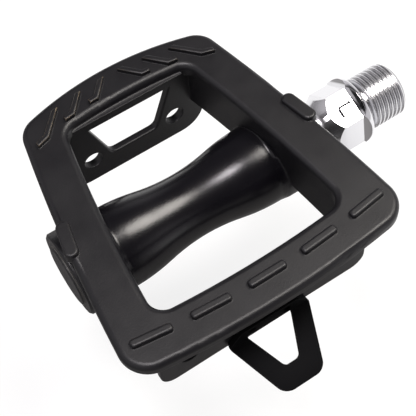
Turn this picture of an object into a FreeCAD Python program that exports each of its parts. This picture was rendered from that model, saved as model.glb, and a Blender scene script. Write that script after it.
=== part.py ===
import FreeCAD, Part
import math
import os
import re
import Sketcher

# Left-hand bicycle platform pedal, in millimetres
# X runs along the spindle towards the crank, Y forwards, Z up
# The origin is on the spindle axis at the shoulder that meets the crank

# Driving sizes
SIZES = {
    # Where the platform sits along the spindle
    "shoulder_to_mid": 50.3,
    # Top plate outline: the corners before rounding, and the bow of each edge
    "plate_top": 16.4,
    "plate_thick": 3.6,
    "front_corner_x": 26.0,
    "front_corner_y": 31.8,
    "rear_corner_x": 36.4,
    "rear_corner_y": 37.2,
    "plate_front_radius": 77.0,
    "plate_side_radius": 510.0,
    "plate_rear_radius": 238.0,
    "front_corner_round": 6.2,
    "rear_corner_round": 7.2,
    "rim_round": 1.5,
    "rim_under_round": 0.8,
    # Opening in the plate
    "opening_front_x": 17.0,
    "opening_front_y": 25.4,
    "opening_rear_x": 24.6,
    "opening_rear_y": 27.4,
    "opening_front_radius": 145.0,
    "opening_side_radius": 393.0,
    "opening_rear_radius": 253.0,
    "opening_corner_round": 4.0,
    "opening_round": 1.6,
    # Walls under the plate
    "wall_thick": 2.2,
    "wall_root": 1.0,
    "wall_edge_round": 0.5,
    "front_wall_ledge": 0.2,
    "front_wall_half": 20.8,
    "front_wall_bottom": 9.3,
    "rear_wall_set_back": 5.6,
    "rear_wall_half": 28.5,
    "rear_wall_bottom": 8.3,
    "front_wall_round": 7.0,
    "rear_wall_round": 4.0,
    "side_wall_thick": 3.0,
    "side_wall_bottom": 2.0,
    # Holes and cut-outs in the front and rear walls
    "wall_hole_dia": 5.2,
    "front_hole_low": 1.0,
    "front_hole_half": 12.0,
    "rear_hole_low": 0.2,
    "rear_hole_half": 20.6,
    "front_cut_top": 11.0,
    "front_cut_top_half": 11.4,
    "front_cut_low": 2.1,
    "front_cut_low_half": 6.5,
    "rear_cut_top": 11.0,
    "rear_cut_top_half": 16.2,
    "rear_cut_low": 2.2,
    "rear_cut_low_half": 13.6,
    "cut_corner_round": 2.0,
    # Hourglass barrel and the bosses at its ends
    "barrel_half": 21.0,
    "barrel_step": 0.35,
    "barrel_turn_x": 10.4,
    "barrel_drop": 1.05,
    "barrel_curve": 50.0,
    "boss_ease": 2.4,
    "boss_beyond": 1.1,
    "boss_wall": 1.8,
    "boss_edge": 0.5,
    "core_gap": 0.1,
    # Grip ridges on the plate
    "ridge_height": 1.2,
    "bar_corner_round": 0.8,
    "bar_round": 0.6,
    "rib_round": 0.35,
    "bar_pitch": 14.0,
    "bar_half": 4.8,
    "bar_width": 2.1,
    "bar_mid_y": 33.4,
    "bar_next_y": 32.9,
    "bar_last_y": 31.5,
    "bar_next_lean": 0.35,
    "bar_last_lean": 0.65,
    "rib_width": 1.2,
    "rib_top_width": 1.6,
    "rib_bend_lean": 0.4,
    "rib_one_top_x": 2.7,
    "rib_one_top_y": 32.9,
    "rib_one_bend_x": 6.5,
    "rib_one_bend_y": 28.6,
    "rib_one_end_x": 8.4,
    "rib_one_end_y": 28.5,
    "rib_two_top_x": 9.4,
    "rib_two_top_y": 32.4,
    "rib_two_bend_x": 13.5,
    "rib_two_bend_y": 27.8,
    "rib_two_end_x": 15.7,
    "rib_two_end_y": 27.5,
    "rib_three_top_x": 16.4,
    "rib_three_top_y": 31.3,
    "rib_three_bend_x": 21.7,
    "rib_three_bend_y": 25.5,
    "rib_three_end_x": 24.6,
    "rib_three_end_y": 24.5,
    "pad_front_x": 30.6,
    "pad_front_y": 1.9,
    "pad_rear_x": 32.0,
    "pad_rear_y": 4.9,
    "pad_half_width": 1.7,
    "pad_height": 1.3,
    "pad_end_radius": 1.75,
    "pad_round": 0.6,
    # Ball bearings, the same on both sides
    "ball_dia": 3.175,
    "ball_count": 12,
    "ball_gap": 0.086,
    "ball_x": 25.4,
    "race_gap": 0.05,
    "cup_wall": 1.03,
    "cup_lip": 0.76,
    "cup_width": 5.2,
    # Clearances: pressed or screwed pieces, and the sealed running neck
    "fit_gap": 0.03,
    "seal_gap": 0.08,
    # Dust seal and dust cap
    "seal_width": 1.8,
    "cap_flange": 1.0,
    "cap_wall": 0.8,
    "crown_step": 1.3,
    "crown_height": 0.6,
    "crown_edge": 0.4,
    # Spindle: crank thread, collar, spanner flats, neck, shaft and stud
    "thread_radius": 7.145,
    "thread_length": 11.5,
    "thread_chamfer": 1.0,
    "collar_radius": 9.0,
    "collar_edge": 0.5,
    "collar_to_flats": 2.7,
    "flats_across": 15.0,
    "flats_length": 7.4,
    "flats_runout": 2.0,
    "flats_count": 6,
    "flats_turn": 20.0,
    "taper_start": 12.6,
    "taper_length": 4.7,
    "neck_step": 0.4,
    "cone_land": 2.2,
    "shaft_step": 0.06,
    "shaft_gap": 0.8,
    "stud_radius": 3.5,
    "stud_proud": 0.5,
    "stud_chamfer": 0.5,
    "key_width": 1.8,
    "key_depth": 0.8,
    "key_end": 26.0,
    # Outboard cone, keyed washer and locknut
    "cone_behind": 2.0,
    "cone_lip": 1.26,
    "washer_thick": 0.8,
    "washer_radius": 5.4,
    "nut_across": 11.0,
    "nut_thick": 2.7,
    # Kick tab of bent sheet on the rear wall, and its two rivets
    "sheet_thick": 1.4,
    "tab_bend_low": 7.6,
    "tab_half": 11.6,
    "tab_flange_half": 7.8,
    "tab_flange_height": 5.0,
    "tab_tilt": 68.0,
    "tab_length": 16.6,
    "tab_tip_half": 5.4,
    "tab_window_rise": 1.4,
    "tab_window_half": 6.2,
    "tab_window_end": 11.0,
    "tab_window_tip_half": 2.1,
    "tab_tip_round": 2.2,
    "tab_window_round": 1.0,
    "rivet_half": 4.8,
    "rivet_up": 3.1,
    "rivet_radius": 1.0,
    "rivet_head_radius": 1.7,
    "rivet_head_thick": 0.7,
}

doc = FreeCAD.newDocument("PlatformPedal")
sheet = doc.addObject("Spreadsheet::Sheet", "Sizes")
for row, (name, value) in enumerate(SIZES.items(), start=1):
    sheet.set(f"A{row}", name)
    sheet.set(f"B{row}", str(value))
    sheet.setAlias(f"B{row}", name)
doc.recompute()


# Sizes that follow from others: a value and its expression
DERIVED = {}


def number(formula):
    """Value of a sum of named sizes, such as "plate_top - 0.5 * plate_thick"."""
    result = 0.0
    for term in formula.replace(" - ", " + -").split("+"):
        term = term.strip()
        factors = term.lstrip("-")
        product = (-1.0) ** (len(term) - len(factors))
        for factor in factors.split("*"):
            factor = factor.strip()
            if factor in DERIVED:
                product *= DERIVED[factor][0]
            else:
                product *= SIZES[factor] if factor in SIZES else float(factor)
        result += product
    return result


def bound(formula):
    """The same sum as an expression that reads the sheet."""
    def named(match):
        name = match.group(0)
        return DERIVED[name][1] if name in DERIVED else f"Sizes.{name}"

    return re.sub(r"[a-z]\w*", named, formula)


def derive(name, formula):
    """Name a sum of sizes, so that other sums can use it."""
    DERIVED[name] = (number(formula), f"({bound(formula)})")


def bind(thing, **formulas):
    """Tie properties of an object to sums of named sizes."""
    for prop, formula in formulas.items():
        thing.setExpression(prop, bound(formula))


def opposite(formula):
    """The same sum with every sign turned round."""
    turned = formula.replace(" - ", " ~ ").replace(" + ", " - ").replace(" ~ ", " + ")
    return turned[1:] if turned.startswith("-") else "-" + turned


# The balls fill their ring, and bearing, boss, barrel and spindle are built around them
DERIVED["ball_ring_radius"] = (
    number("ball_dia + ball_gap") / 2 / math.sin(math.pi / number("ball_count")),
    "((Sizes.ball_dia + Sizes.ball_gap) / 2 / sin(180 / Sizes.ball_count))",
)
derive("race_radius", "0.5 * ball_dia + race_gap")
derive("race_bottom", "ball_ring_radius - race_radius")
derive("seat_radius", "ball_ring_radius + race_radius + cup_wall + fit_gap")
derive("boss_radius", "seat_radius + boss_wall")
derive("barrel_end_radius", "boss_radius - barrel_step")
derive("barrel_turn_radius", "barrel_end_radius - barrel_drop")
derive("core_bore_radius", "ball_ring_radius + core_gap")
derive("crown_radius", "seat_radius - crown_step")
derive("neck_radius", "ball_ring_radius - neck_step")
derive("shaft_radius", "race_bottom - shaft_step")
derive("cup_back", "ball_x - race_radius - cup_lip")
derive("shaft_end", "ball_x - cone_behind - shaft_gap")
derive("cone_front", "ball_x + race_radius + cone_lip")
derive("stud_tip", "cone_front + washer_thick + nut_thick + stud_proud")
derive("boss_end", "stud_tip + boss_beyond")
derive("boss_start", "barrel_half + boss_ease")

# The hanging walls keep their place beside the opening
derive("front_wall_y", "opening_front_y - front_wall_ledge")
derive("rear_wall_y", "opening_rear_y + rear_wall_set_back")


# Sketches
def new_body(label):
    body = doc.addObject("PartDesign::Body", label)
    body.Label = label
    return body


def origin_plane(body, role):
    return next(f for f in body.Origin.OriginFeatures if f.Role == role)


def new_sketch(body, name, role, offset=None):
    sketch = body.newObject("Sketcher::SketchObject", name)
    sketch.AttachmentSupport = [(origin_plane(body, role), "")]
    sketch.MapMode = "FlatFace"
    if offset:
        sketch.setExpression("AttachmentOffset.Base.z", bound(offset))
    return sketch


def fix_point(sketch, index, point, x, y):
    for kind, formula in (("DistanceX", x), ("DistanceY", y)):
        rule = Sketcher.Constraint(kind, -1, 1, index, point, number(formula))
        place = sketch.addConstraint(rule)
        sketch.setExpression(f"Constraints[{place}]", bound(formula))


def fix_radius(sketch, index, formula):
    place = sketch.addConstraint(Sketcher.Constraint("Radius", index, number(formula)))
    sketch.setExpression(f"Constraints[{place}]", bound(formula))


def add_circle(sketch, x, y, radius):
    middle = FreeCAD.Vector(number(x), number(y), 0)
    circle = Part.Circle(middle, FreeCAD.Vector(0, 0, 1), number(radius))
    index = sketch.addGeometry(circle)
    fix_point(sketch, index, 3, x, y)
    fix_radius(sketch, index, radius)


def add_loop(sketch, corners, arcs=None):
    """Closed outline through corners, taken anticlockwise.

    arcs gives a side's radius and whether it bows out of or into the outline.
    """
    arcs = arcs or {}
    points = [FreeCAD.Vector(number(x), number(y), 0) for x, y in corners]
    sides = []
    for i, start in enumerate(points):
        end = points[(i + 1) % len(points)]
        if i in arcs:
            radius, bow = arcs[i]
            half = (end - start) * 0.5
            inward = FreeCAD.Vector(-half.y, half.x, 0).normalize()
            depth = math.sqrt(max(number(radius) ** 2 - half.Length ** 2, 0.0))
            middle = start + half + inward * (depth if bow == "out" else -depth)
            turns = [math.atan2(p.y - middle.y, p.x - middle.x) for p in (start, end)]
            if bow == "in":
                turns.reverse()
            circle = Part.Circle(middle, FreeCAD.Vector(0, 0, 1), number(radius))
            index = sketch.addGeometry(Part.ArcOfCircle(circle, *turns))
        else:
            bow = "out"
            index = sketch.addGeometry(Part.LineSegment(start, end))
        sides.append((index, 1, 2) if bow == "out" else (index, 2, 1))
    for i, (index, start, _) in enumerate(sides):
        last_index, _, last_end = sides[i - 1]
        sketch.addConstraint(Sketcher.Constraint("Coincident", last_index, last_end, index, start))
        fix_point(sketch, index, start, *corners[i])
        if i in arcs:
            fix_radius(sketch, index, arcs[i][0])


def mirrored_outline(right):
    """Corners of an outline that is the same on both sides, from its right half, rear to front."""
    return right + [(opposite(x), y) for x, y in reversed(right)]


# Features
def add_feature(body, kind, name, sketch, backwards=False, **formulas):
    before = 0.0 if body.Shape.isNull() else body.Shape.Volume
    feature = body.newObject(f"PartDesign::{kind}", name)
    feature.Profile = sketch
    feature.Reversed = backwards
    if kind in ("Revolution", "Groove"):
        feature.ReferenceAxis = (sketch, ["H_Axis"])
        feature.Angle = 360.0
    bind(feature, **formulas)
    doc.recompute()
    if abs(body.Shape.Volume - before) < 1e-6:
        raise RuntimeError(f"{name} changed nothing")
    return feature


def round_edges(body, name, radius, wanted):
    """Fillet the edges of the body's last feature that the test picks."""
    base = body.Tip
    picked = [f"Edge{i}" for i, edge in enumerate(base.Shape.Edges, start=1) if wanted(edge)]
    fillet = body.newObject("PartDesign::Fillet", name)
    fillet.Base = (base, picked)
    bind(fillet, Radius=radius)
    doc.recompute()
    return fillet


def mirror_across(body, name, feature):
    mirrored = body.newObject("PartDesign::Mirrored", name)
    mirrored.Originals = [feature]
    mirrored.MirrorPlane = (origin_plane(body, "YZ_Plane"), [""])
    body.Tip = mirrored
    doc.recompute()
    return mirrored


NEAR = 1e-4


def runs_along(edge, axis):
    """True for a straight edge along axis 0, 1 or 2."""
    a, b = edge.firstVertex().Point, edge.lastVertex().Point
    moved = [abs(b[k] - a[k]) > NEAR for k in range(3)]
    return moved[axis] and sum(moved) == 1


def lies_at(edge, formula):
    """True for an edge whose whole length is at one height."""
    height = number(formula)
    box = edge.BoundBox
    return abs(box.ZMin - height) < NEAR and abs(box.ZMax - height) < NEAR


def within(edge, x, y, low):
    """True for an edge in the box around the plate's middle and above a height."""
    box = edge.BoundBox
    return max(abs(box.XMin), abs(box.XMax)) < x and max(abs(box.YMin), abs(box.YMax)) < y and box.ZMin > low


def place_at_mid(thing):
    thing.setExpression("Placement.Base.x", bound("-shoulder_to_mid"))


def turn_to_outboard(thing):
    """Swing a piece drawn for the crank side round to the outer side."""
    thing.Placement.Rotation = FreeCAD.Rotation(FreeCAD.Vector(0, 0, 1), 180)


# Platform body: one casting with plate, walls, barrel and grip ridges
body = new_body("platform_body")
UNDER = "plate_top - plate_thick"

sketch = new_sketch(body, "PlateOutline", "XY_Plane", UNDER)
plate_corners = mirrored_outline([("rear_corner_x", "-rear_corner_y"), ("front_corner_x", "front_corner_y")])
add_loop(sketch, plate_corners, {
    0: ("plate_side_radius", "out"),
    1: ("plate_front_radius", "out"),
    2: ("plate_side_radius", "out"),
    3: ("plate_rear_radius", "out"),
})
add_feature(body, "Pad", "Plate", sketch, Length="plate_thick")
round_edges(body, "FrontCorners", "front_corner_round",
            lambda e: runs_along(e, 2) and e.CenterOfMass.y > 0)
round_edges(body, "RearCorners", "rear_corner_round",
            lambda e: runs_along(e, 2) and e.CenterOfMass.y < -number("rear_corner_y - 0.5"))
round_edges(body, "Rim", "rim_round", lambda e: lies_at(e, "plate_top"))
round_edges(body, "RimUnder", "rim_under_round", lambda e: lies_at(e, UNDER))

sketch = new_sketch(body, "OpeningOutline", "XY_Plane", "plate_top")
opening_corners = mirrored_outline([
    ("opening_rear_x", "-opening_rear_y"),
    ("opening_front_x", "opening_front_y"),
])
add_loop(sketch, opening_corners, {
    0: ("opening_side_radius", "out"),
    1: ("opening_front_radius", "out"),
    2: ("opening_side_radius", "out"),
    3: ("opening_rear_radius", "out"),
})
add_feature(body, "Pocket", "Opening", sketch, Length="plate_thick")
around = (number("opening_rear_x + 1"), number("opening_rear_y + 2"), number(UNDER) - 1)
round_edges(body, "OpeningCorners", "opening_corner_round",
            lambda e: runs_along(e, 2) and within(e, *around))
round_edges(body, "OpeningRim", "opening_round",
            lambda e: lies_at(e, "plate_top") and within(e, *around))

# Walls that hang under the plate at the front and rear, each with two holes and a cut-out
for end, offset in (("front", "-front_wall_y"), ("rear", "rear_wall_y")):
    sketch = new_sketch(body, f"{end}_wall_outline", "XZ_Plane", offset)
    add_loop(sketch, mirrored_outline([
        (f"{end}_wall_half", f"-{end}_wall_bottom"),
        (f"{end}_wall_half", UNDER + " + wall_root"),
    ]))
    add_loop(sketch, mirrored_outline([
        (f"{end}_cut_low_half", f"-{end}_cut_low"),
        (f"{end}_cut_top_half", f"{end}_cut_top"),
    ]))
    for side in (f"{end}_hole_half", f"-{end}_hole_half"):
        add_circle(sketch, side, f"-{end}_hole_low", "0.5 * wall_hole_dia")
    if end == "rear":
        for side in ("rivet_half", "-rivet_half"):
            add_circle(sketch, side, "-tab_bend_low + rivet_up", "rivet_radius + fit_gap")
    add_feature(body, "Pad", f"{end}_wall", sketch, backwards=True, Length="wall_thick")


def wall_corner(edge, end, depth):
    """True for a corner through the front or rear wall, at a depth below the axis."""
    middle = edge.CenterOfMass
    at_end = middle.y > 0 if end == "front" else middle.y < 0
    return runs_along(edge, 1) and at_end and abs(middle.z + number(depth)) < NEAR


def wall_edge(edge):
    """True for an edge round a wall's outline or cut-out, on either face, but not round a hole."""
    box = edge.BoundBox
    flat = box.YMax - box.YMin < NEAR
    return flat and box.ZMin < number(UNDER) - NEAR and not edge.isClosed()


for end in ("front", "rear"):
    round_edges(body, f"{end}_wall_corners", f"{end}_wall_round",
                lambda e: wall_corner(e, end, f"{end}_wall_bottom"))
    round_edges(body, f"{end}_cut_corners", "cut_corner_round",
                lambda e: wall_corner(e, end, f"{end}_cut_low"))
round_edges(body, "WallEdges", "wall_edge_round", wall_edge)

# Side walls follow the opening and tie the front wall to the rear wall
sketch = new_sketch(body, "SideWallOutline", "XY_Plane", "side_wall_bottom")
rear_end = "-rear_wall_y + 0.5 * wall_thick"
front_end = "front_wall_y + 0.5 * wall_thick"
add_loop(sketch, [
    ("opening_rear_x", rear_end),
    ("opening_rear_x + side_wall_thick", rear_end),
    ("opening_rear_x + side_wall_thick", "-opening_rear_y"),
    ("opening_front_x + side_wall_thick", "opening_front_y"),
    ("opening_front_x + side_wall_thick", front_end),
    ("opening_front_x", front_end),
    ("opening_front_x", "opening_front_y"),
    ("opening_rear_x", "-opening_rear_y"),
], {2: ("opening_side_radius", "out"), 6: ("opening_side_radius", "in")})
side_wall = add_feature(body, "Pad", "SideWall", sketch, Length=UNDER + " + wall_root - side_wall_bottom")
mirror_across(body, "SideWalls", side_wall)

# Hourglass barrel with a boss beyond each side wall
sketch = new_sketch(body, "BarrelProfile", "XZ_Plane")
add_loop(sketch, [
    ("-boss_end", "0"),
    ("boss_end", "0"),
    ("boss_end", "boss_radius - boss_edge"),
    ("boss_end - boss_edge", "boss_radius"),
    ("boss_start", "boss_radius"),
    ("barrel_half", "barrel_end_radius"),
    ("barrel_turn_x", "barrel_turn_radius"),
    ("-barrel_turn_x", "barrel_turn_radius"),
    ("-barrel_half", "barrel_end_radius"),
    ("-boss_start", "boss_radius"),
    ("-boss_end + boss_edge", "boss_radius"),
    ("-boss_end", "boss_radius - boss_edge"),
], {5: ("barrel_curve", "out"), 6: ("barrel_curve", "in"), 7: ("barrel_curve", "out")})
add_feature(body, "Revolution", "Barrel", sketch)

# Bearing seats at both ends and the clear bore between them
sketch = new_sketch(body, "BoreProfile", "XZ_Plane")
add_loop(sketch, [
    ("-boss_end", "0"),
    ("boss_end", "0"),
    ("boss_end", "seat_radius"),
    ("cup_back", "seat_radius"),
    ("cup_back", "core_bore_radius"),
    ("-cup_back", "core_bore_radius"),
    ("-cup_back", "seat_radius"),
    ("-boss_end", "seat_radius"),
])
add_feature(body, "Groove", "Bore", sketch)

# Row of raised bars along the bowed rear edge
sketch = new_sketch(body, "BarOutlines", "XY_Plane", "plate_top")


def add_bar(place, middle_y, lean):
    """One bar, lean being how far its outer end lies in front of its middle."""
    left, right = place + " - bar_half", place + " + bar_half"
    add_loop(sketch, [
        (left, f"{middle_y} - {lean} - 0.5 * bar_width"),
        (right, f"{middle_y} + {lean} - 0.5 * bar_width"),
        (right, f"{middle_y} + {lean} + 0.5 * bar_width"),
        (left, f"{middle_y} - {lean} + 0.5 * bar_width"),
    ])


add_bar("0 * bar_pitch", "-bar_mid_y", "0 * bar_next_lean")
add_bar("bar_pitch", "-bar_next_y", "bar_next_lean")
add_bar("-bar_pitch", "-bar_next_y", "-1 * bar_next_lean")
add_bar("2 * bar_pitch", "-bar_last_y", "bar_last_lean")
add_bar("-2 * bar_pitch", "-bar_last_y", "-1 * bar_last_lean")
add_feature(body, "Pad", "Bars", sketch, Length="ridge_height")
round_edges(body, "BarCorners", "bar_corner_round",
            lambda e: runs_along(e, 2) and e.BoundBox.ZMax > number("plate_top") + NEAR)
round_edges(body, "BarRound", "bar_round", lambda e: lies_at(e, "plate_top + ridge_height"))

# Bent ribs on the front edge, three a side
sketch = new_sketch(body, "RibOutlines", "XY_Plane", "plate_top")
for rib in ("rib_one", "rib_two", "rib_three"):
    add_loop(sketch, [
        (f"{rib}_top_x + 0.5 * rib_top_width", f"{rib}_top_y"),
        (f"{rib}_top_x - 0.5 * rib_top_width", f"{rib}_top_y"),
        (f"{rib}_bend_x - rib_bend_lean", f"{rib}_bend_y - 0.5 * rib_width"),
        (f"{rib}_end_x", f"{rib}_end_y - 0.5 * rib_width"),
        (f"{rib}_end_x", f"{rib}_end_y + 0.5 * rib_width"),
        (f"{rib}_bend_x + rib_bend_lean", f"{rib}_bend_y + 0.5 * rib_width"),
    ])
ribs = add_feature(body, "Pad", "RibsRight", sketch, Length="ridge_height")
mirror_across(body, "Ribs", ribs)
round_edges(body, "RibRound", "rib_round",
            lambda e: lies_at(e, "plate_top + ridge_height") and e.CenterOfMass.y > 0)

# Oblong pad half way along each side edge
sketch = new_sketch(body, "SidePadOutline", "XY_Plane", "plate_top - rim_round")
add_loop(sketch, [
    ("pad_rear_x - pad_half_width", "-pad_rear_y"),
    ("pad_rear_x + pad_half_width", "-pad_rear_y"),
    ("pad_front_x + pad_half_width", "pad_front_y"),
    ("pad_front_x - pad_half_width", "pad_front_y"),
], {0: ("pad_end_radius", "out"), 2: ("pad_end_radius", "out")})
side_pad = add_feature(body, "Pad", "SidePad", sketch, Length="rim_round + pad_height")
mirror_across(body, "SidePads", side_pad)
round_edges(body, "SidePadTops", "pad_round", lambda e: lies_at(e, "plate_top + pad_height"))
place_at_mid(body)
nodes = [body]


# Ball bearings: a cup pressed in each boss
def make_cup(label):
    cup = new_body(label)
    profile = new_sketch(cup, label + "_profile", "XZ_Plane")
    back = "cup_back + fit_gap"
    front = back + " + cup_width"
    add_loop(profile, [
        (back, "ball_ring_radius"),
        ("ball_x - race_radius", "ball_ring_radius"),
        ("ball_x", "ball_ring_radius + race_radius"),
        (front, "ball_ring_radius + race_radius"),
        (front, "seat_radius - fit_gap"),
        (back, "seat_radius - fit_gap"),
    ], {1: ("race_radius", "in")})
    add_feature(cup, "Revolution", label + "_ring", profile)
    place_at_mid(cup)
    return cup


inboard_cup = make_cup("inboard_cup")
outboard_cup = make_cup("outboard_cup")
turn_to_outboard(outboard_cup)
nodes += [inboard_cup, outboard_cup]

# Full ring of loose balls in each bearing
for side, sign in (("inboard", ""), ("outboard", "-")):
    for index in range(int(number("ball_count"))):
        ball = doc.addObject("Part::Sphere", f"{side}_ball_{index + 1:02d}")
        ball.Label = f"{side}_ball_{index + 1:02d}"
        bind(ball, Radius="0.5 * ball_dia")
        turn = f"{index} * 360 / Sizes.ball_count"
        ball.setExpression("Placement.Base.x", bound(f"-shoulder_to_mid + {sign}1 * ball_x"))
        ball.setExpression("Placement.Base.y", f"{bound('ball_ring_radius')} * cos({turn})")
        ball.setExpression("Placement.Base.z", f"{bound('ball_ring_radius')} * sin({turn})")
        nodes.append(ball)

# Dust seal in the crank-side boss, running on the neck
seal = new_body("dust_seal")
sketch = new_sketch(seal, "SealProfile", "XZ_Plane")
add_loop(sketch, [
    ("boss_end - seal_width", "neck_radius + seal_gap"),
    ("boss_end", "neck_radius + seal_gap"),
    ("boss_end", "seat_radius - fit_gap"),
    ("boss_end - seal_width", "seat_radius - fit_gap"),
])
add_feature(seal, "Revolution", "Seal", sketch)
place_at_mid(seal)
nodes.append(seal)

# Dust cap: a flange in the outer boss and a hollow crown over the locknut
cap = new_body("dust_cap")
sketch = new_sketch(cap, "CapProfile", "XZ_Plane")
crown_top = "boss_end + crown_height"
add_loop(sketch, [
    (crown_top + " - cap_wall", "0"),
    (crown_top, "0"),
    (crown_top, "crown_radius - crown_edge"),
    (crown_top + " - crown_edge", "crown_radius"),
    ("boss_end", "crown_radius"),
    ("boss_end", "seat_radius - fit_gap"),
    ("boss_end - cap_flange", "seat_radius - fit_gap"),
    ("boss_end - cap_flange", "crown_radius - cap_wall"),
    (crown_top + " - cap_wall", "crown_radius - cap_wall"),
], {2: ("crown_edge", "out")})
add_feature(cap, "Revolution", "Cap", sketch)
place_at_mid(cap)
turn_to_outboard(cap)
nodes.append(cap)

# Spindle: turned from the crank thread to the stud, with six spanner flats
spindle = new_body("spindle")
sketch = new_sketch(spindle, "SpindleProfile", "XZ_Plane")
far_side_of_ball = "ball_x + race_radius"
thread_tip = "shoulder_to_mid + thread_length"
taper_foot = "shoulder_to_mid - taper_start"
add_loop(sketch, [
    ("-stud_tip", "0"),
    (thread_tip, "0"),
    (thread_tip, "thread_radius - thread_chamfer"),
    (thread_tip + " - thread_chamfer", "thread_radius"),
    ("shoulder_to_mid", "thread_radius"),
    ("shoulder_to_mid", "collar_radius - collar_edge"),
    ("shoulder_to_mid - collar_edge", "collar_radius"),
    (taper_foot + " + taper_length", "collar_radius"),
    (taper_foot, "neck_radius"),
    (far_side_of_ball + " + cone_land", "neck_radius"),
    (far_side_of_ball, "ball_ring_radius"),
    ("ball_x", "race_bottom"),
    ("ball_x - cone_behind", "shaft_radius"),
    ("-shaft_end", "shaft_radius"),
    ("-shaft_end", "stud_radius"),
    ("-stud_tip + stud_chamfer", "stud_radius"),
    ("-stud_tip", "stud_radius - stud_chamfer"),
], {10: ("race_radius", "in")})
add_feature(spindle, "Revolution", "Turning", sketch)

sketch = new_sketch(spindle, "FlatCutter", "XZ_Plane", "2 * collar_radius")
flat_end = "shoulder_to_mid - collar_to_flats"
add_loop(sketch, [
    (flat_end + " - flats_length", "0.5 * flats_across"),
    (flat_end, "0.5 * flats_across"),
    (flat_end + " + flats_runout", "collar_radius + collar_edge"),
    (flat_end + " - flats_length", "collar_radius + collar_edge"),
])
flat = add_feature(spindle, "Pocket", "Flat", sketch, Length="4 * collar_radius")
flats = spindle.newObject("PartDesign::PolarPattern", "Flats")
flats.Originals = [flat]
flats.Axis = (next(f for f in spindle.Origin.OriginFeatures if f.Role == "X_Axis"), [""])
flats.Angle = 360.0
bind(flats, Occurrences="flats_count")
spindle.Tip = flats
doc.recompute()

sketch = new_sketch(spindle, "KeywayOutline", "XY_Plane", "stud_radius - key_depth")
add_loop(sketch, [
    ("-stud_tip", "-0.5 * key_width"),
    ("-key_end", "-0.5 * key_width"),
    ("-key_end", "0.5 * key_width"),
    ("-stud_tip", "0.5 * key_width"),
])
add_feature(spindle, "Pocket", "Keyway", sketch, backwards=True, Length="2 * key_depth")


def turn_with_spindle(thing):
    place_at_mid(thing)
    thing.Placement.Rotation = FreeCAD.Rotation(FreeCAD.Vector(1, 0, 0), number("flats_turn"))


turn_with_spindle(spindle)
nodes.append(spindle)

# Outboard cone screwed on the stud
cone = new_body("outboard_cone")
sketch = new_sketch(cone, "ConeProfile", "XZ_Plane")
add_loop(sketch, [
    ("ball_x - cone_behind", "stud_radius + fit_gap"),
    ("cone_front", "stud_radius + fit_gap"),
    ("cone_front", "ball_ring_radius"),
    (far_side_of_ball, "ball_ring_radius"),
    ("ball_x", "race_bottom"),
    ("ball_x - cone_behind", "race_bottom"),
], {3: ("race_radius", "in")})
add_feature(cone, "Revolution", "Cone", sketch)
place_at_mid(cone)
turn_to_outboard(cone)
nodes.append(cone)

# Keyed washer between cone and locknut, its key in the stud's keyway
washer = new_body("lock_washer")
WASHER_FACE = "-cone_front - fit_gap"
sketch = new_sketch(washer, "WasherOutline", "YZ_Plane", WASHER_FACE)
add_circle(sketch, "0 * washer_radius", "0 * washer_radius", "washer_radius")
add_circle(sketch, "0 * washer_radius", "0 * washer_radius", "stud_radius + fit_gap")
add_feature(washer, "Pad", "Washer", sketch, backwards=True, Length="washer_thick")
sketch = new_sketch(washer, "KeyOutline", "YZ_Plane", WASHER_FACE)
key_side = "0.5 * key_width - fit_gap"
add_loop(sketch, mirrored_outline([
    (key_side, "stud_radius - key_depth + fit_gap"),
    (key_side, "stud_radius + key_depth"),
]))
add_feature(washer, "Pad", "Key", sketch, backwards=True, Length="washer_thick")
turn_with_spindle(washer)
nodes.append(washer)

# Locknut
nut_blank = doc.addObject("Part::Prism", "NutBlank")
nut_blank.Polygon = 6
nut_blank.setExpression("Circumradius", "Sizes.nut_across / 2 / cos(30)")
nut_hole = doc.addObject("Part::Cylinder", "NutHole")
bind(nut_blank, Height="nut_thick")
bind(nut_hole, Height="nut_thick", Radius="stud_radius + fit_gap")
nut = doc.addObject("Part::Cut", "lock_nut")
nut.Label = "lock_nut"
nut.Base = nut_blank
nut.Tool = nut_hole
nut.Placement.Rotation = FreeCAD.Rotation(FreeCAD.Vector(0, 1, 0), -90)
nut.setExpression("Placement.Base.x", bound("-shoulder_to_mid - cone_front - washer_thick - 2 * fit_gap"))
nodes.append(nut)

# Kick tab: a flange on the rear wall and a loop bent outwards and down
tab = new_body("kick_tab")
BACK = "rear_wall_y + fit_gap"
sketch = new_sketch(tab, "TabFlange", "XZ_Plane", BACK)
add_loop(sketch, mirrored_outline([
    ("tab_window_half", "-tab_bend_low + tab_window_rise"),
    ("tab_window_half", "-tab_bend_low"),
    ("tab_half", "-tab_bend_low"),
    ("tab_flange_half", "-tab_bend_low + tab_flange_height"),
]))
for side in ("rivet_half", "-rivet_half"):
    add_circle(sketch, side, "-tab_bend_low + rivet_up", "rivet_radius + fit_gap")
add_feature(tab, "Pad", "Flange", sketch, Length="sheet_thick")
sketch = new_sketch(tab, "TabLoop", "XZ_Plane")
sketch.AttachmentOffset = FreeCAD.Placement(
    FreeCAD.Vector(0, -number("tab_bend_low"), number(BACK)),
    FreeCAD.Rotation(FreeCAD.Vector(1, 0, 0), -number("tab_tilt")),
)
sketch.setExpression("AttachmentOffset.Base.y", bound("-tab_bend_low"))
sketch.setExpression("AttachmentOffset.Base.z", bound(BACK))
sketch.setExpression("AttachmentOffset.Rotation.Angle", bound("-tab_tilt"))
add_loop(sketch, mirrored_outline([
    ("tab_tip_half", "-tab_length"),
    ("tab_half", "0"),
    ("tab_window_half", "0"),
    ("tab_window_tip_half", "-tab_window_end"),
]))
add_feature(tab, "Pad", "Loop", sketch, Length="sheet_thick")


def tip_of(half, along):
    """Place of a loop corner on the tab's lower face."""
    tilt = math.radians(number("tab_tilt"))
    out = -number(BACK) - number(along) * math.sin(tilt)
    down = -number("tab_bend_low") - number(along) * math.cos(tilt)
    return [FreeCAD.Vector(side * number(half), out, down) for side in (-1, 1)]


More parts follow.
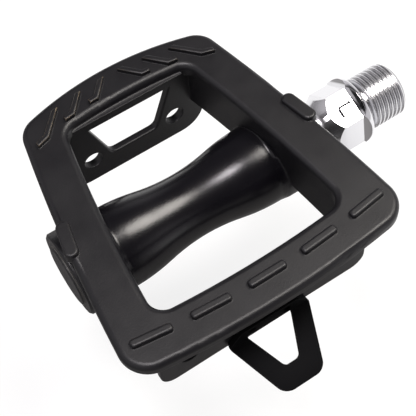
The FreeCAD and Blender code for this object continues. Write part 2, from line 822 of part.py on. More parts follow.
def meets(edge, places):
    """True for an edge across the sheet that starts or ends at one of the places."""
    across = abs(edge.Length - number("sheet_thick")) < NEAR
    ends = [v.Point for v in edge.Vertexes]
    return across and any(p.distanceToPoint(q) < NEAR for p in places for q in ends)


round_edges(tab, "TipRound", "tab_tip_round", lambda e: meets(e, tip_of("tab_tip_half", "tab_length")))
round_edges(tab, "WindowRound", "tab_window_round",
            lambda e: meets(e, tip_of("tab_window_tip_half", "tab_window_end")))
place_at_mid(tab)
nodes.append(tab)

# Two rivets through tab and wall, flush outside and headed inside
rivets = []
RIVET_PARTS = {
    "shank": ("rivet_radius", "sheet_thick + 2 * fit_gap + wall_thick", BACK + " + sheet_thick"),
    "head": ("rivet_head_radius", "rivet_head_thick", "rear_wall_y - wall_thick - fit_gap"),
}
for side, sign in (("left", "-"), ("right", "")):
    pieces = []
    for piece, (radius, length, back) in RIVET_PARTS.items():
        cylinder = doc.addObject("Part::Cylinder", f"{side}_rivet_{piece}")
        bind(cylinder, Radius=radius, Height=length)
        cylinder.Placement.Rotation = FreeCAD.Rotation(FreeCAD.Vector(1, 0, 0), -90)
        cylinder.setExpression("Placement.Base.x", bound(f"-shoulder_to_mid + {sign}1 * rivet_half"))
        cylinder.setExpression("Placement.Base.y", f"-({bound(back)})")
        cylinder.setExpression("Placement.Base.z", bound("-tab_bend_low + rivet_up"))
        pieces.append(cylinder)
    rivet = doc.addObject("Part::MultiFuse", f"{side}_rivet")
    rivet.Shapes = pieces
    rivets.append(rivet)
rivet_pair = doc.addObject("Part::Compound", "tab_rivets")
rivet_pair.Label = "tab_rivets"
rivet_pair.Links = rivets
nodes.append(rivet_pair)

# Check everything, then write one file for each piece
doc.recompute()
for thing in doc.Objects:
    if "Invalid" in thing.State or "Error" in thing.State:
        raise RuntimeError(f"{thing.Name} failed: {thing.State}")
for node in nodes:
    if node.Shape.isNull() or not node.Shape.isValid():
        raise RuntimeError(f"{node.Label} has no valid shape")
os.makedirs("parts", exist_ok=True)
for node in nodes:
    node.Shape.exportStep(f"parts/{node.Label}.step")
    print(node.Label, "solids", len(node.Shape.Solids), "volume", round(node.Shape.Volume, 2))
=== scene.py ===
import math

import bmesh
import bpy
from mathutils import Matrix, Vector


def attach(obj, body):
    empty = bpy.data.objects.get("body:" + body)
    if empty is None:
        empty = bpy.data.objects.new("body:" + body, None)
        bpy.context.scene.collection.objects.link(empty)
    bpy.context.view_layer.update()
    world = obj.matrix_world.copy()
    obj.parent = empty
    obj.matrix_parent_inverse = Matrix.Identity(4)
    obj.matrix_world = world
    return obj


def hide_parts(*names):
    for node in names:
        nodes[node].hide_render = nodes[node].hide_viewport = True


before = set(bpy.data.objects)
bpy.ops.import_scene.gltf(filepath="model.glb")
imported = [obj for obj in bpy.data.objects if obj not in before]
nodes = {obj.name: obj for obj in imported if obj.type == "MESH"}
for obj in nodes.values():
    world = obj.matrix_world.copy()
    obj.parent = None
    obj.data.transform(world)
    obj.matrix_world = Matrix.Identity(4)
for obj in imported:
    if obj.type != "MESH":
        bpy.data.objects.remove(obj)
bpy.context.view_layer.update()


# Spindle
# Turned from a steel bar, milled with six spanner flats, thread rolled, then
# hard chromed. It screws into the crank and carries both bearings.
MM = 0.001
X_AXIS = Vector((1, 0, 0))


def drawn(points):
    """An open outline of (place, radius) pairs in millimetres, ready to be spun."""
    bm = bmesh.new()
    corners = [bm.verts.new((x * MM, 0, r * MM)) for x, r in points]
    lines = [bm.edges.new(pair) for pair in zip(corners, corners[1:])]
    return bm, corners + lines


def tidy_skin(bm):
    """Merge the doubles of a skin and turn its faces the same way, outwards if it is closed."""
    bmesh.ops.remove_doubles(bm, verts=bm.verts, dist=1e-7)
    bmesh.ops.recalc_face_normals(bm, faces=bm.faces)


# Stud, shaft, bearing cone, neck, flared collar and the core of the thread, in that order
SPINDLE_OUTLINE = (
    (-82.6, 0), (-82.6, 3.0), (-82.1, 3.5), (-72.9, 3.5), (-72.9, 4.6), (-26.9, 4.6),
    (-24.9, 4.66), (-24.0, 4.95), (-23.4, 5.6), (-23.26, 6.3), (-21.06, 5.9),
    (-12.9, 5.9), (-12.3, 6.05), (-11.8, 6.4), (-8.0, 8.85), (-7.6, 9.0),
    (-1.3, 9.0), (-0.75, 8.9), (-0.3, 8.6), (-0.06, 8.15), (0, 7.6),
    (0, 6.9), (0.1, 6.55), (0.4, 6.25), (11.35, 6.25), (11.35, 0),
)
ROUND_STEPS = 128
spindle, outline = drawn(SPINDLE_OUTLINE)
bmesh.ops.spin(spindle, geom=outline, cent=(0, 0, 0), axis=X_AXIS,
               angle=math.tau, steps=ROUND_STEPS, use_merge=True)
tidy_skin(spindle)


def axes(first, second, third, origin):
    """A placing matrix from three directions and a point in millimetres."""
    place = Matrix((first, second, third)).transposed().to_4x4()
    place.translation = Vector(origin) * MM
    return place


def prism(outline, place, depth):
    """A cutter: a flat outline, moved to its place and extruded along its normal."""
    bm = bmesh.new()
    face = bm.faces.new([bm.verts.new(place @ Vector((u * MM, v * MM, 0))) for u, v in outline])
    up = (place.to_3x3() @ Vector((0, 0, 1))) * depth * MM
    grown = bmesh.ops.extrude_face_region(bm, geom=[face])
    moved = [v for v in grown["geom"] if isinstance(v, bmesh.types.BMVert)]
    bmesh.ops.translate(bm, verts=moved, vec=up)
    bmesh.ops.recalc_face_normals(bm, faces=bm.faces)
    return bm


def combine(bm, other, operation):
    """Cut one solid with another, or join them, and give back a new bmesh."""
    holders = []
    for label, part in (("blank", bm), ("cutter", other)):
        mesh = bpy.data.meshes.new(label)
        part.to_mesh(mesh)
        part.free()
        holder = bpy.data.objects.new(label, mesh)
        bpy.context.scene.collection.objects.link(holder)
        holders.append(holder)
    cut = holders[0].modifiers.new("cut", "BOOLEAN")
    cut.object = holders[1]
    cut.operation = operation
    cut.solver = "EXACT"
    bpy.context.view_layer.update()
    result = bmesh.new()
    result.from_object(holders[0], bpy.context.evaluated_depsgraph_get())
    for holder in holders:
        mesh = holder.data
        bpy.data.objects.remove(holder)
        bpy.data.meshes.remove(mesh)
    return result


# Each flat is 15 mm across its pair and runs out in the curve that the milling cutter leaves
FLATS = 6
FLAT_TURN = math.radians(20)
FLAT_OUT = 7.5
FLAT_BACK = -11.5
CUTTER_TOP = 9.5
CUTTER_HALF = 10
cutter_outline = [(FLAT_BACK, FLAT_OUT), (-2.7, FLAT_OUT), (-1.95, 8.15), (-1.35, 8.85),
                  (-1.0, CUTTER_TOP), (FLAT_BACK, CUTTER_TOP)]
for turn in range(FLATS):
    lie = Matrix.Rotation(FLAT_TURN + turn * math.tau / FLATS, 4, "X")
    side = lie @ axes((1, 0, 0), (0, 0, 1), (0, 1, 0), (0, -CUTTER_HALF, 0))
    spindle = combine(spindle, prism(cutter_outline, side, 2 * CUTTER_HALF), "DIFFERENCE")

# The letter for a left-hand thread, struck into one flat with a V-edged punch: its stem,
# its foot and the broad end of the stem
facing = Matrix.Rotation(FLAT_TURN, 4, "X")
STROKES = (
    # across, up, along, start, half width and depth of the wedge, length
    ((0, 1, 0), (0, 0, 1), (1, 0, 0), (-7.0, 0.75, FLAT_OUT), 0.52, 0.26, 3.45),
    ((1, 0, 0), (0, 0, 1), (0, -1, 0), (-7.0, 0.45, FLAT_OUT), 0.75, 0.36, 2.35),
    ((0, 1, 0), (0, 0, 1), (1, 0, 0), (-3.85, 0.75, FLAT_OUT), 0.75, 0.36, 0.45),
)
for across, up, along, start, half, depth, length in STROKES:
    lie = facing @ axes(across, up, along, start)
    wedge = prism([(-half, depth), (half, depth), (0, -depth)], lie, length)
    spindle = combine(spindle, wedge, "DIFFERENCE")

# Left-hand thread, twenty turns to the inch, one turn of its outline swept along
PITCH = 25.4 / 20
DEPTH = 0.50 * PITCH
THREAD_R = 7.145
THREAD_START = 1.3
THREAD_TIP = 11.5
STEPS = 72
TURNS = 11
# from the root to the crest: share of the pitch, and depth below the crest
half_ridge = [(0, -DEPTH), (0.05, -0.97 * DEPTH), (0.10, -0.85 * DEPTH), (0.24, -0.15),
              (0.29, -0.05), (0.35, -0.008)]
ridge = half_ridge + [(0.5, 0)] + [(1 - u, d) for u, d in reversed(half_ridge)]
thread, outline = drawn([((u - 1) * PITCH, THREAD_R + d) for u, d in ridge])
bmesh.ops.spin(thread, geom=outline, cent=(0, 0, 0), axis=X_AXIS,
               dvec=X_AXIS * PITCH * MM / STEPS, angle=-math.tau * TURNS, steps=STEPS * TURNS)
bmesh.ops.remove_doubles(thread, verts=thread.verts, dist=1e-6)
for end, way in ((THREAD_START, -1), (THREAD_TIP, 1)):
    everything = thread.verts[:] + thread.edges[:] + thread.faces[:]
    bmesh.ops.bisect_plane(thread, geom=everything, plane_co=X_AXIS * end * MM,
                           plane_no=X_AXIS * way, clear_outer=True)
bmesh.ops.holes_fill(thread, edges=[e for e in thread.edges if e.is_boundary], sides=0)
# both ends are chamfered, so that the first and last turns fade out
TIP_CHAMFER = 1.1
START_CHAMFER = 0.75
START_SLOPE = 1.5
CORE_R = 5.0
for vert in thread.verts:
    across = math.hypot(vert.co.y, vert.co.z) / MM
    at_tip = THREAD_R - TIP_CHAMFER + THREAD_TIP - vert.co.x / MM
    at_start = THREAD_R - START_CHAMFER + (vert.co.x / MM - THREAD_START) * START_SLOPE
    room = max(min(at_tip, at_start), CORE_R)
    if across > room:
        vert.co.yz = vert.co.yz * (room / across)
bmesh.ops.recalc_face_normals(thread, faces=thread.faces)
spindle = combine(spindle, thread, "UNION")
tidy_skin(spindle)


def hex_colour(text):
    """sRGB hex to the linear colour that a socket takes."""
    parts = [int(text[i:i + 2], 16) / 255 for i in (1, 3, 5)]
    linear = [c / 12.92 if c <= 0.04045 else ((c + 0.055) / 1.055) ** 2.4 for c in parts]
    return (*linear, 1.0)


def add_node(tree, kind, settings=None, inputs=None):
    """One node, with its settings, and its sockets set or linked."""
    node = tree.nodes.new("ShaderNode" + kind)
    for name, value in (settings or {}).items():
        setattr(node, name, value)
    for name, value in (inputs or {}).items():
        if isinstance(value, bpy.types.NodeSocket):
            tree.links.new(value, node.inputs[name])
        else:
            node.inputs[name].default_value = value
    return node


def new_material(name, **sockets):
    """A material whose one shader has these sockets set; others are linked later."""
    material = bpy.data.materials.new(name)
    material.use_nodes = True
    shader = material.node_tree.nodes["Principled BSDF"]
    for socket, value in sockets.items():
        shader.inputs[socket.replace("_", " ")].default_value = value
    return material, material.node_tree, shader


def from_axis(tree, place):
    """The three parts of a place, and its distance from the spindle's axis."""
    apart = add_node(tree, "SeparateXYZ", inputs={"Vector": place})
    beside = add_node(tree, "CombineXYZ", inputs={"Y": apart.outputs["Y"], "Z": apart.outputs["Z"]})
    radius = add_node(tree, "VectorMath", {"operation": "LENGTH"}, {0: beside.outputs[0]})
    return apart.outputs, radius.outputs["Value"]


# Hard chrome on polished steel: a near mirror with faint turning marks round the axis,
# softer edges where the plating builds up, a satin rolled thread and turned flare, and old
# oil with painted shade that darkens the thread's roots and the struck letter
TURNING_MARK = 0.4
MARK_STRETCH = 0.12
PLATED_EDGE = 0.12
THREAD_ROUGH = 0.27
FLARE_ROUGH = 0.25
UNDERCUT_FADE = (0.4, 1.2)
FLARE_FADE = (-7.6, -8.4)
ROOT_FADE = (THREAD_R - 0.25, THREAD_R - DEPTH)
chrome, tree, shader = new_material("hard_chrome_on_turned_steel", Metallic=1.0)
place = add_node(tree, "TexCoord").outputs["Object"]
stretched = add_node(tree, "Mapping", inputs={"Vector": place, "Scale": (1, MARK_STRETCH, MARK_STRETCH)})
marks = add_node(tree, "TexNoise", inputs={"Vector": stretched.outputs["Vector"],
                                           "Scale": 1 / (TURNING_MARK * MM), "Detail": 3.0})
gloss = add_node(tree, "MapRange", inputs={"Value": marks.outputs["Fac"], "From Min": 0.3,
                                           "From Max": 0.7, "To Min": 0.06, "To Max": 0.14})
apart, radius = from_axis(tree, place)
in_root = add_node(tree, "MapRange", inputs={"Value": radius, "From Min": ROOT_FADE[0] * MM,
                                             "From Max": ROOT_FADE[1] * MM, "To Max": 0.5})
on_thread = add_node(tree, "MapRange", inputs={"Value": apart["X"], "From Min": UNDERCUT_FADE[0] * MM,
                                               "From Max": UNDERCUT_FADE[1] * MM})
on_flare = add_node(tree, "MapRange", inputs={"Value": apart["X"], "From Min": FLARE_FADE[0] * MM,
                                              "From Max": FLARE_FADE[1] * MM})
rough = gloss
for share, satin in ((on_thread, THREAD_ROUGH), (on_flare, FLARE_ROUGH)):
    rough = add_node(tree, "MapRange", inputs={"Value": share.outputs[0], "To Min": rough.outputs[0],
                                               "To Max": satin})
# old oil and painted shade, darker in the thread's roots
root_oil_and_shade = add_node(tree, "Math", {"operation": "MULTIPLY"}, {0: in_root.outputs[0],
                                                              1: on_thread.outputs[0]})
turned_back = add_node(tree, "Mapping", inputs={"Vector": place, "Rotation": (-FLAT_TURN, 0, 0)})
on_flat = add_node(tree, "SeparateXYZ", inputs={"Vector": turned_back.outputs[0]}).outputs
off_middle = add_node(tree, "Math", {"operation": "ABSOLUTE"}, {0: on_flat["Y"]})
# the letter's oil and painted shade: below the flat, near its middle line, clear of the flare and of the
# run-out
LETTER_FADES = (
    (on_flat["Z"], FLAT_OUT - 0.02, FLAT_OUT - 0.14),
    (off_middle.outputs[0], 3.0, 2.7),
    (on_flat["X"], -7.6, -7.4),
    (on_flat["X"], -2.9, -3.1),
)
limits = [add_node(tree, "MapRange", inputs={"Value": measure, "From Min": none * MM, "From Max": full * MM})
          for measure, none, full in LETTER_FADES]
letter_oil_and_shade = limits[0]
for limit in limits[1:]:
    letter_oil_and_shade = add_node(tree, "Math", {"operation": "MULTIPLY"}, {0: letter_oil_and_shade.outputs[0],
                                                                    1: limit.outputs[0]})
oil_and_shade = add_node(tree, "Math", {"operation": "MAXIMUM"}, {0: root_oil_and_shade.outputs[0], 1: letter_oil_and_shade.outputs[0]})
# sockets 6 and 7 are the two colours of a colour mix
shade = add_node(tree, "Mix", {"data_type": "RGBA"}, {0: oil_and_shade.outputs[0], 6: hex_colour("#e4e4e7"),
                                                      7: hex_colour("#5a5a60")})
eased = add_node(tree, "Bevel", {"samples": 6}, {"Radius": PLATED_EDGE * MM})
tree.links.new(shade.outputs[2], shader.inputs["Base Color"])
tree.links.new(rough.outputs[0], shader.inputs["Roughness"])
tree.links.new(eased.outputs["Normal"], shader.inputs["Normal"])


def finish_piece(name, bm, material, body, node, sharp_angle):
    """Turn a bmesh into a piece that rides on a body and stands for a node of the frame."""
    mesh = bpy.data.meshes.new(name)
    bm.to_mesh(mesh)
    bm.free()
    mesh.materials.append(material)
    piece = bpy.data.objects.new(name, mesh)
    bpy.context.scene.collection.objects.link(piece)
    mesh.shade_smooth()
    mesh.set_sharp_from_angle(angle=math.radians(sharp_angle))
    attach(piece, body)
    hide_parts(node)
    return piece


stem = finish_piece("spindle_turned", spindle, chrome, "spindle", "spindle", 33)
stem.modifiers.new("flats stay flat", "WEIGHTED_NORMAL").keep_sharp = True


def dress(name, material):
    """Give a CAD node its finish through its object's own slot."""
    slot = nodes[name].material_slots[0]
    slot.link = "OBJECT"
    slot.material = material


# Hardened steel, ground: bright, with a fine satin grain
GRIND_MARK = 0.25
steel, tree, shader = new_material("ground_bearing_steel", Base_Color=hex_colour("#b9bbbd"), Metallic=1.0)
place = add_node(tree, "TexCoord").outputs["Object"]
grind = add_node(tree, "TexNoise", inputs={"Vector": place, "Scale": 1 / (GRIND_MARK * MM), "Detail": 2.0})
gloss = add_node(tree, "MapRange", inputs={"Value": grind.outputs["Fac"], "To Min": 0.18, "To Max": 0.34})
tree.links.new(gloss.outputs["Result"], shader.inputs["Roughness"])
for name in nodes:
    if any(word in name for word in ("ball", "cup", "cone", "lock")):
        dress(name, steel)


# Platform body
# One aluminium die casting: plate with grip ridges, hanging walls, hourglass
# barrel and bosses. Blasted, then painted satin black; the barrel is glossier.
PLATFORM_MID = 50.3


def edge_mask(tree, radius, starts, full):
    """A normal eased over this radius, and a share from 0 on flat faces to 1 at edges, which carry wear, a
    thinner coat and a painted highlight.
    """
    eased = add_node(tree, "Bevel", {"samples": 6}, {"Radius": radius * MM}).outputs["Normal"]
    face = add_node(tree, "NewGeometry").outputs["Normal"]
    flatness = add_node(tree, "VectorMath", {"operation": "DOT_PRODUCT"}, {0: eased, 1: face})
    at_edge = add_node(tree, "MapRange", inputs={"Value": flatness.outputs["Value"],
                                                 "From Min": starts, "From Max": full})
    return eased, at_edge


# Sprayed paint over a blasted casting: satin, with fine orange peel, cloudy gloss where
# the coat is thicker, and thin brownish paint on the ridge tops that soles rub, most of
# all at the outer end. That pale colour on the ridge edges is also a painted highlight
PAINT_PEEL = 0.38
PEEL_DEPTH = 0.12
PAINT_CLOUD = 8.0
RUB_PATCH = 1.6
PAINTED_EDGE = 0.35
BARREL_R_FADE = (11.2, 10.6)
BARREL_HALF_FADE = (22.6, 21.6)
RIDGE_FADE = (16.9, 17.3)
WORN_FADE = (-45, -68)
cast, tree, shader = new_material("satin_black_paint_on_die_casting")
place = add_node(tree, "TexCoord").outputs["Object"]
peel = add_node(tree, "TexNoise", inputs={"Vector": place, "Scale": 1 / (PAINT_PEEL * MM),
                                          "Detail": 4.0, "Roughness": 0.6})
cloud = add_node(tree, "TexNoise", inputs={"Vector": place, "Scale": 1 / (PAINT_CLOUD * MM), "Detail": 3.0})
apart, radius = from_axis(tree, place)
middle = add_node(tree, "Math", {"operation": "ADD"}, {0: apart["X"], 1: PLATFORM_MID * MM})
along = add_node(tree, "Math", {"operation": "ABSOLUTE"}, {0: middle.outputs[0]})
near_axis = add_node(tree, "MapRange", inputs={"Value": radius, "From Min": BARREL_R_FADE[0] * MM,
                                               "From Max": BARREL_R_FADE[1] * MM})
between = add_node(tree, "MapRange", inputs={"Value": along.outputs[0],
                                             "From Min": BARREL_HALF_FADE[0] * MM,
                                             "From Max": BARREL_HALF_FADE[1] * MM})
barrel = add_node(tree, "Math", {"operation": "MULTIPLY"}, {0: near_axis.outputs[0],
                                                            1: between.outputs[0]})
satin = add_node(tree, "MapRange", inputs={"Value": cloud.outputs["Fac"], "From Min": 0.3,
                                           "From Max": 0.7, "To Min": 0.37, "To Max": 0.44})
glossy = add_node(tree, "MapRange", inputs={"Value": cloud.outputs["Fac"], "From Min": 0.3,
                                            "From Max": 0.7, "To Min": 0.2, "To Max": 0.25})
rough = add_node(tree, "Mix", {"data_type": "FLOAT"}, {0: barrel.outputs[0], 2: satin.outputs[0],
                                                       3: glossy.outputs[0]})
eased, at_edge = edge_mask(tree, PAINTED_EDGE, 0.99, 0.93)
on_ridge = add_node(tree, "MapRange", inputs={"Value": apart["Z"], "From Min": RIDGE_FADE[0] * MM,
                                              "From Max": RIDGE_FADE[1] * MM})
patches = add_node(tree, "TexNoise", inputs={"Vector": place, "Scale": 1 / (RUB_PATCH * MM), "Detail": 3.0})
patchy = add_node(tree, "MapRange", inputs={"Value": patches.outputs["Fac"], "From Min": 0.25,
                                            "From Max": 0.6})
worn_end = add_node(tree, "MapRange", inputs={"Value": apart["X"], "From Min": WORN_FADE[0] * MM,
                                              "From Max": WORN_FADE[1] * MM, "To Min": 0.12})
pale_edges = at_edge
for share in (on_ridge, patchy, worn_end):
    pale_edges = add_node(tree, "Math", {"operation": "MULTIPLY"}, {0: pale_edges.outputs[0], 1: share.outputs[0]})
# pale colour on the ridge edges: rubbed paint, and also a painted highlight
shade = add_node(tree, "Mix", {"data_type": "RGBA"}, {0: pale_edges.outputs[0], 6: hex_colour("#0d0c10"),
                                                      7: hex_colour("#a8967c")})
bump = add_node(tree, "Bump", inputs={"Height": peel.outputs["Fac"], "Strength": 0.22,
                                      "Distance": PEEL_DEPTH * MM, "Normal": eased})
tree.links.new(shade.outputs[2], shader.inputs["Base Color"])
tree.links.new(rough.outputs[0], shader.inputs["Roughness"])
tree.links.new(bump.outputs["Normal"], shader.inputs["Normal"])

# The solid's own skin, merged, so that its flat faces shade flat up to the rounded edges
skin = bmesh.new()
skin.from_mesh(nodes["platform_body"].data)
bmesh.ops.remove_doubles(skin, verts=skin.verts, dist=1e-6)
bmesh.ops.dissolve_limit(skin, angle_limit=math.radians(0.05), verts=skin.verts[:], edges=skin.edges[:])
casting = finish_piece("platform_casting", skin, cast, "platform", "platform_body", 30)
casting.data.attributes.remove(casting.data.attributes["custom_normal"])
evened = casting.modifiers.new("flat faces stay flat", "WEIGHTED_NORMAL")
evened.mode = "FACE_AREA_WITH_ANGLE"
evened.keep_sharp = True


# Dust seal
# A rubber ring, moulded and pressed into the crank-side boss. The spindle's
# neck turns in it, and it keeps the grease in.
# Nitrile rubber: dull and nearly black, with a fine moulded grain
RUBBER_GRAIN = 0.5
GRAIN_DEPTH = 0.05
rubber, tree, shader = new_material("moulded_nitrile_rubber", Base_Color=hex_colour("#17171a"))
place = add_node(tree, "TexCoord").outputs["Object"]
grain = add_node(tree, "TexNoise", inputs={"Vector": place, "Scale": 1 / (RUBBER_GRAIN * MM), "Detail": 3.0})
dull = add_node(tree, "MapRange", inputs={"Value": grain.outputs["Fac"], "To Min": 0.6, "To Max": 0.85})
bump = add_node(tree, "Bump", inputs={"Height": grain.outputs["Fac"], "Strength": 0.15,
                                      "Distance": GRAIN_DEPTH * MM})
tree.links.new(dull.outputs[0], shader.inputs["Roughness"])
tree.links.new(bump.outputs["Normal"], shader.inputs["Normal"])
dress("dust_seal", rubber)


# Dust cap
# A plastic cap, moulded in one piece. It snaps into the outer boss and keeps
# the bearing clean.
# Black polypropylene: soft sheen, with slight flow marks and pale rubbed edges
FLOW_MARK = 2.5
MOULDED_EDGE = 0.45
plastic, tree, shader = new_material("moulded_black_polypropylene")
place = add_node(tree, "TexCoord").outputs["Object"]
flow = add_node(tree, "TexNoise", inputs={"Vector": place, "Scale": 1 / (FLOW_MARK * MM), "Detail": 3.0})
sheen = add_node(tree, "MapRange", inputs={"Value": flow.outputs["Fac"], "To Min": 0.34, "To Max": 0.5})
eased, at_edge = edge_mask(tree, MOULDED_EDGE, 0.98, 0.86)
pale_edges = add_node(tree, "Math", {"operation": "MULTIPLY"}, {0: at_edge.outputs[0], 1: flow.outputs["Fac"]})
shade = add_node(tree, "Mix", {"data_type": "RGBA"}, {0: pale_edges.outputs[0], 6: hex_colour("#161618"),
                                                      7: hex_colour("#8a8780")})
tree.links.new(shade.outputs[2], shader.inputs["Base Color"])
tree.links.new(sheen.outputs[0], shader.inputs["Roughness"])
tree.links.new(eased, shader.inputs["Normal"])
dress("dust_cap", plastic)


# Kick tab
# Blanked from mild steel sheet and bent over a former, so its bend is round. The
# flange is riveted to the rear wall; a toe flips the pedal by the loop.
SHEET = 1.4
WALL_FACE = -33.03
BEND_LOW = -7.6
TILT = math.radians(68)
BEND_R = 1.3
FLANGE_TOP = -2.6
TAB_LENGTH = 16.6
WINDOW_END = 11.0
# the sheet's middle line: straight flange, round bend, straight loop
flange_y = WALL_FACE - SHEET / 2
run_y = -math.sin(TILT)
run_z = -math.cos(TILT)
lead = SHEET / 2 * (1 - math.cos(TILT)) / math.sin(TILT)
corner_z = BEND_LOW + SHEET / 2 * math.sin(TILT) + lead * run_z
tangent = BEND_R * math.tan(TILT / 2)
bend_from = FLANGE_TOP - corner_z - tangent
bend_to = bend_from + BEND_R * TILT


def on_middle_line(run):
    """Where a point at this length down the flat blank lies once the sheet is bent."""
    if run <= bend_from:
        return flange_y, FLANGE_TOP - run
    if run <= bend_to:
        turn = (run - bend_from) / BEND_R
        return (flange_y - BEND_R * (1 - math.cos(turn)),
                FLANGE_TOP - bend_from - BEND_R * math.sin(turn))
    beyond = run - bend_to + tangent
    return flange_y + beyond * run_y, corner_z + beyond * run_z


# half outlines of the flat blank and of its window, as width and length, with corner rounds
tip = bend_to + TAB_LENGTH - lead - tangent
window_tip = bend_to + WINDOW_END - lead - tangent
ROUND_SEGMENTS = 6
blank = bmesh.new()
for half_outline, rounds in (
    ([(7.8, 0), (11.3, 4.3), (5.4, tip)], (0.8, 1.2, 2.2)),
    ([(6.2, bend_from), (6.2, bend_from + 1.2), (2.1, window_tip)], (0.5, 0.5, 1.0)),
):
    outline = half_outline + [(-u, v) for u, v in reversed(half_outline)]
    loop = bmesh.new()
    face = loop.faces.new([loop.verts.new((u * MM, v * MM, 0)) for u, v in outline])
    for vert, size in zip(face.verts[:], rounds + rounds[::-1]):
        bmesh.ops.bevel(loop, geom=[vert], offset=size * MM, affect="VERTICES",
                        segments=ROUND_SEGMENTS, profile=0.5, material=-1)
    rim = [blank.verts.new(v.co) for v in loop.faces[:][0].verts]
    for pair in zip(rim, rim[1:] + rim[:1]):
        blank.edges.new(pair)
    loop.free()
bmesh.ops.triangle_fill(blank, edges=blank.edges[:], use_beauty=True)
BEND_STEPS = 10
for step in range(BEND_STEPS + 1):
    cut_at = bend_from + (bend_to - bend_from) * step / BEND_STEPS
    bmesh.ops.bisect_plane(blank, geom=blank.verts[:] + blank.edges[:] + blank.faces[:],
                           plane_co=(0, cut_at * MM, 0), plane_no=(0, 1, 0))
for vert in blank.verts:
    y, z = on_middle_line(vert.co.y / MM)
    vert.co = (vert.co.x - PLATFORM_MID * MM, y * MM, z * MM)
tidy_skin(blank)

# Powder coat baked on steel: matt, with a fine pebble, thinner and greyer on the blanked edges
PEBBLE = 0.45
PEBBLE_DEPTH = 0.1
COATED_EDGE = 0.2
coat, tree, shader = new_material("matt_black_powder_coat_on_sheet", Specular_IOR_Level=0.08)
place = add_node(tree, "TexCoord").outputs["Object"]
pebble = add_node(tree, "TexNoise", inputs={"Vector": place, "Scale": 1 / (PEBBLE * MM), "Detail": 3.0})
matt = add_node(tree, "MapRange", inputs={"Value": pebble.outputs["Fac"], "To Min": 0.68, "To Max": 0.8})
eased, at_edge = edge_mask(tree, COATED_EDGE, 0.98, 0.86)
thin = add_node(tree, "Math", {"operation": "MULTIPLY"}, {0: at_edge.outputs[0], 1: pebble.outputs["Fac"]})
shade = add_node(tree, "Mix", {"data_type": "RGBA"}, {0: thin.outputs[0], 6: hex_colour("#0a0a0c"),
                                                      7: hex_colour("#4d4b49")})
bump = add_node(tree, "Bump", inputs={"Height": pebble.outputs["Fac"], "Strength": 0.12,
                                      "Distance": PEBBLE_DEPTH * MM, "Normal": eased})
tree.links.new(shade.outputs[2], shader.inputs["Base Color"])
tree.links.new(matt.outputs[0], shader.inputs["Roughness"])
tree.links.new(bump.outputs["Normal"], shader.inputs["Normal"])

BLANKED_ROUND = 0.15
tab = finish_piece("kick_tab_bent", blank, coat, "platform", "kick_tab", 40)
thick = tab.modifiers.new("sheet", "SOLIDIFY")
thick.thickness = SHEET * MM
thick.offset = 0
thick.use_even_offset = True
edge = tab.modifiers.new("blanked edge", "BEVEL")
edge.width = BLANKED_ROUND * MM
edge.segments = 2
edge.limit_method = "ANGLE"
edge.angle_limit = math.radians(50)


# Tab rivets
# Two steel rivets that hold the tab's flange to the rear wall. They are closed
# flush outside and headed inside, and have the tab's own coat.
dress("tab_rivets", coat)


# Floor
# A wide sheet of white card below the pedal, on which its soft shadow lies.
# It is stage, not part of the pedal.
FLOOR_DROP = 56
FLOOR_HALF = 3000
floor_bm = bmesh.new()
bmesh.ops.create_grid(floor_bm, x_segments=1, y_segments=1, size=FLOOR_HALF * MM)
bmesh.ops.translate(floor_bm, verts=floor_bm.verts, vec=(0, 0, -FLOOR_DROP * MM))
floor_mesh = bpy.data.meshes.new("floor")
floor_bm.to_mesh(floor_mesh)
floor_bm.free()
floor = bpy.data.objects.new("floor", floor_mesh)
bpy.context.scene.collection.objects.link(floor)
# Matt card: white to the eye and a little greyer near the pedal, bright in the chrome on the
# crank side, and beyond it dark in reflections, a painted shadow of the pedal. Its own grey throws little
# light back up.
WHITE = hex_colour("#ffffff")
SHADE_FADE = (120, 400)
CRANK_SIDE = (1, 0.3, 0)
PAINTED_SHADOW_FADE = (-30, 20)
paper, tree, shader = new_material("white_card", Base_Color=hex_colour("#7c7c7c"), Roughness=1.0)
light_path = add_node(tree, "LightPath")
place = add_node(tree, "TexCoord").outputs["Object"]
crank_side = add_node(tree, "VectorMath", {"operation": "DOT_PRODUCT"}, {0: place, 1: CRANK_SIDE})
# painted shadow: what the chrome and paint see of the card fades to dark away from the crank side, a fixed
# dark area standing for the pedal's shadow
shine_beside_painted_shadow = add_node(tree, "MapRange", {"interpolation_type": "SMOOTHSTEP"},
                      {"Value": crank_side.outputs["Value"], "From Min": PAINTED_SHADOW_FADE[0] * MM,
                       "From Max": PAINTED_SHADOW_FADE[1] * MM, "To Max": 0.85})
shine = add_node(tree, "Math", {"operation": "MAXIMUM"}, {0: light_path.outputs["Is Glossy Ray"],
                                                          1: light_path.outputs["Is Transmission Ray"]})
soft_shine = add_node(tree, "Math", {"operation": "MULTIPLY"}, {0: shine.outputs[0],
                                                                1: shine_beside_painted_shadow.outputs[0]})
from_pedal = add_node(tree, "VectorMath", {"operation": "DISTANCE"},
                      {0: place, 1: (-PLATFORM_MID * MM, 0, -FLOOR_DROP * MM)})
sweep = add_node(tree, "MapRange", {"interpolation_type": "SMOOTHSTEP"},
                 {"Value": from_pedal.outputs["Value"], "From Min": SHADE_FADE[0] * MM,
                  "From Max": SHADE_FADE[1] * MM, "To Min": 0.8, "To Max": 1.0})
bright = add_node(tree, "Math", {"operation": "MULTIPLY"}, {0: light_path.outputs["Is Camera Ray"],
                                                            1: sweep.outputs[0]})
seen = add_node(tree, "Math", {"operation": "MAXIMUM"}, {0: bright.outputs[0], 1: soft_shine.outputs[0]})
white = add_node(tree, "Emission", inputs={"Color": WHITE, "Strength": seen.outputs[0]})
both = add_node(tree, "AddShader", inputs={0: shader.outputs[0], 1: white.outputs[0]})
tree.links.new(both.outputs[0], tree.nodes["Material Output"].inputs["Surface"])
floor_mesh.materials.append(paper)


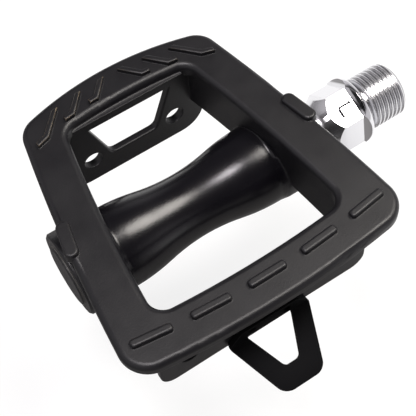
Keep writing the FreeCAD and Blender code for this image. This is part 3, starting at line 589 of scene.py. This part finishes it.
# Light
# One soft box high on the crank side, one overhead, dim walls in front and behind
# and white ones at both ends, which the chrome mirrors.
ROOM_COLOUR = (1.0, 0.97, 1.0, 1)
world = bpy.data.worlds.new("studio")
bpy.context.scene.world = world
world.use_nodes = True
tree = world.node_tree
room = tree.nodes["Background"]
light_path = add_node(tree, "LightPath")
white = add_node(tree, "Background", inputs={"Color": WHITE, "Strength": 1.0})
way = add_node(tree, "SeparateXYZ", inputs={"Vector": add_node(tree, "TexCoord").outputs["Generated"]})
level = add_node(tree, "MapRange", {"interpolation_type": "SMOOTHSTEP"},
                 {"Value": way.outputs["Y"], "From Min": -0.4, "From Max": 0.35,
                  "To Min": 0.03, "To Max": 0.07})
crank_wall = add_node(tree, "MapRange", {"interpolation_type": "SMOOTHSTEP"},
                      {"Value": way.outputs["X"], "From Min": 0.2, "From Max": 0.42, "To Max": 0.62})
low_wall = add_node(tree, "MapRange", {"interpolation_type": "SMOOTHSTEP"},
                    {"Value": way.outputs["Z"], "From Min": 0.65, "From Max": 0.35,
                     "To Max": crank_wall.outputs[0]})
outer_wall = add_node(tree, "MapRange", {"interpolation_type": "SMOOTHSTEP"},
                      {"Value": way.outputs["X"], "From Min": -0.1, "From Max": -0.55, "To Max": 0.5})
for wall in (low_wall, outer_wall):
    level = add_node(tree, "Math", {"operation": "ADD"}, {0: level.outputs[0], 1: wall.outputs[0]})
room.inputs["Color"].default_value = ROOM_COLOUR
tree.links.new(level.outputs[0], room.inputs["Strength"])
shown = add_node(tree, "MixShader", inputs={0: light_path.outputs["Is Camera Ray"], 1: room.outputs[0],
                                            2: white.outputs[0]})
tree.links.new(shown.outputs[0], tree.nodes["World Output"].inputs["Surface"])

LIGHT_AIM = Vector((-0.045, 0, 0))
BOX_DISTANCE = 1.0


def soft_box(name, way, size, radiance, colour):
    """A round soft box that shines on the pedal from this direction, at this brightness."""
    lamp = bpy.data.lights.new(name, "AREA")
    lamp.shape = "DISK"
    lamp.size = size
    lamp.color = colour
    lamp.energy = radiance * math.pi * math.pi * size * size / 4
    holder = bpy.data.objects.new(name, lamp)
    holder.location = LIGHT_AIM + Vector(way).normalized() * BOX_DISTANCE
    holder.rotation_euler = Vector(way).to_track_quat("Z", "Y").to_euler()
    bpy.context.scene.collection.objects.link(holder)


soft_box("key_box", way=(0.46, -0.09, 0.88), size=0.5, radiance=13.5, colour=(1.0, 0.96, 0.9))
soft_box("top_box", way=(-0.16, -0.1, 1.0), size=0.3, radiance=29.0, colour=(1.0, 0.95, 0.98))


# Camera
# The photograph's viewpoint: above, behind and outboard of the pedal, with the
# lens, place and turn that were fitted to the pedal's outline.
camera_data = bpy.data.cameras.new("camera")
camera_data.sensor_width = 36
camera_data.lens = 88.99
camera_data.clip_start = 0.01
camera = bpy.data.objects.new("camera", camera_data)
camera.location = (-0.10811, -0.11637, 0.21233)
camera.rotation_euler = [math.radians(a) for a in (31.063, 2.902, -33.305)]
bpy.context.scene.collection.objects.link(camera)
bpy.context.scene.camera = camera
bpy.context.scene.view_settings.view_transform = "Standard"
